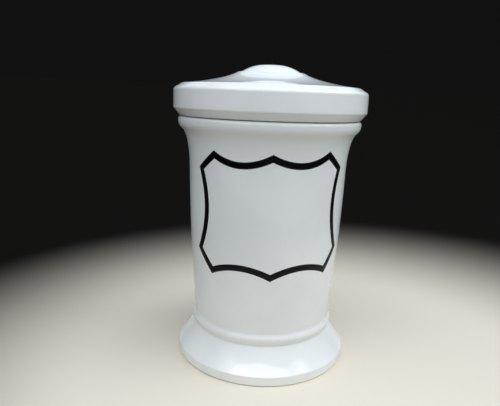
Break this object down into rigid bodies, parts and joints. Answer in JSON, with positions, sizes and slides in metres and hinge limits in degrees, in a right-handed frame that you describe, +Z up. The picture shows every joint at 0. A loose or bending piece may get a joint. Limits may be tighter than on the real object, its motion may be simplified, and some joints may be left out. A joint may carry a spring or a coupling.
{
  "type": "ointment pot",
  "caption": "Turned white porcelain ointment pot with flared foot, rolled rim and lift-off lid with button knob; a black shield frame surrounds a blank label field.",
  "frame": {"origin": "on the pot's axis, in the plane that the foot ring stands on", "axes": "+Z up along the axis of the pot; -Y towards the middle of the shield frame"},
  "size_m": [0.116, 0.116, 0.1795],
  "materials": {
    "porcelain": "glossy white glaze",
    "enamel": "glossy black fired enamel"
  },
  "bodies": {
    "jar": {"jar_body": "porcelain", "label_frame": "enamel"},
    "lid": {"lid": "porcelain"}
  },
  "joints": [
    {"name": "lid_lift", "type": "slide", "parent": "jar", "child": "lid", "axis": [0, 0, 1], "range_m": [0, 0.12]}
  ]
}
